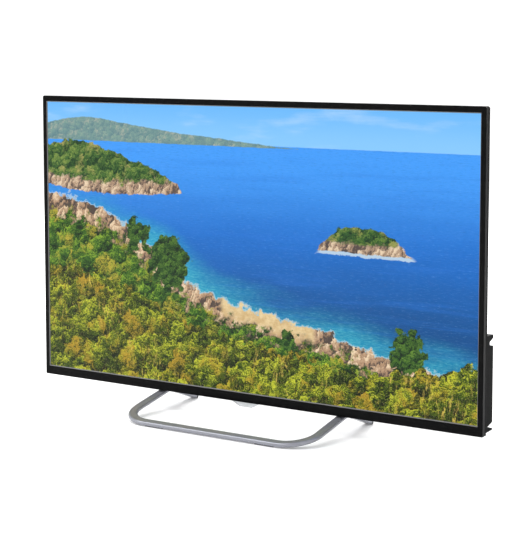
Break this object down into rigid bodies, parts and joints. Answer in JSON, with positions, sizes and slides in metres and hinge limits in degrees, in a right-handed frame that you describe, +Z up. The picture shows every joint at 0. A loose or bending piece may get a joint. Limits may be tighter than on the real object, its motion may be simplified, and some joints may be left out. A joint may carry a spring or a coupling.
{
  "type": "flat screen television",
  "caption": "Flat screen television with a slim gloss bezel, a deep electronics cover across the lower back, push keys and a bent oval tube stand.",
  "frame": {"origin": "on the floor, under the middle of the stand's footprint and of the set's width", "axes": "+X to the viewer's right, +Y from the screen's front to the back, +Z up"},
  "size_m": [0.963, 0.2462, 0.5983],
  "materials": {
    "bezel": "gloss",
    "screen": "gloss",
    "shell": "fine texture",
    "stand_metal": "satin",
    "clear_plastic": "gloss",
    "white_film": "satin",
    "frame_plastic": "matte",
    "sheet_steel": "galvanised",
    "board": "satin",
    "chip": "matte",
    "sink": "satin",
    "winding": "satin",
    "capacitor": "gloss",
    "screw": "blackened",
    "bright_steel": "bright",
    "socket_plastic": "matte",
    "lead": "matte",
    "ribbon": "satin",
    "cone": "matte",
    "key": "satin",
    "pad": "matte",
    "cap": "matte"
  },
  "bodies": {
    "set": {"front_bezel": "bezel", "lcd_panel": "screen", "mid_frame": "frame_plastic", "prism_film": "white_film", "diffuser_film": "white_film", "light_guide_plate": "clear_plastic", "reflector_sheet": "white_film", "led_strip": "board", "led_packages": "white_film", "led_heat_spreader": "sink", "rear_chassis": "sheet_steel", "rear_cover": "shell", "electronics_cover": "shell", "rear_cover_screws": "screw", "electronics_cover_screws": "screw", "vesa_inserts": "bright_steel", "main_board": "board", "power_board": "board", "board_standoffs": "bright_steel", "board_screws": "bright_steel", "processor_heat_sink": "sink", "tuner_can": "bright_steel", "main_board_chips": "chip", "power_transformer": "winding", "power_capacitors": "capacitor", "power_heat_sinks": "sink", "tcon_board": "board", "panel_driver_boards": "board", "panel_ribbon_cable": "ribbon", "power_harness": "lead", "speaker_leads": "lead", "hdmi_sockets": "bright_steel", "usb_sockets": "bright_steel", "network_socket": "bright_steel", "antenna_socket": "bright_steel", "audio_socket": "socket_plastic", "mains_inlet": "socket_plastic", "speaker_box_left": "frame_plastic", "speaker_box_right": "frame_plastic", "speaker_driver_left": "cone", "speaker_driver_right": "cone", "ir_window": "clear_plastic", "ir_board": "board", "key_board": "board", "key_switches": "chip", "stand_tube": "stand_metal", "bar_pads": "pad", "foot_cap_left": "cap", "foot_cap_right": "cap", "stand_bracket_left": "sheet_steel", "stand_bracket_right": "sheet_steel", "stand_mount_blocks": "sheet_steel", "stand_screws": "bright_steel"},
    "power_key": {"power_key": "key"},
    "source_key": {"source_key": "key"},
    "volume_up_key": {"volume_up_key": "key"},
    "volume_down_key": {"volume_down_key": "key"},
    "channel_up_key": {"channel_up_key": "key"},
    "channel_down_key": {"channel_down_key": "key"}
  },
  "joints": [
    {"name": "power_key_press", "type": "slide", "parent": "set", "child": "power_key", "axis": [0, -1, 0], "range_m": [0, 0.0008], "stiffness_N_per_m": 800},
    {"name": "source_key_press", "type": "slide", "parent": "set", "child": "source_key", "axis": [0, -1, 0], "range_m": [0, 0.0008], "stiffness_N_per_m": 800},
    {"name": "volume_up_key_press", "type": "slide", "parent": "set", "child": "volume_up_key", "axis": [0, -1, 0], "range_m": [0, 0.0008], "stiffness_N_per_m": 800},
    {"name": "volume_down_key_press", "type": "slide", "parent": "set", "child": "volume_down_key", "axis": [0, -1, 0], "range_m": [0, 0.0008], "stiffness_N_per_m": 800},
    {"name": "channel_up_key_press", "type": "slide", "parent": "set", "child": "channel_up_key", "axis": [0, -1, 0], "range_m": [0, 0.0008], "stiffness_N_per_m": 800},
    {"name": "channel_down_key_press", "type": "slide", "parent": "set", "child": "channel_down_key", "axis": [0, -1, 0], "range_m": [0, 0.0008], "stiffness_N_per_m": 800}
  ]
}
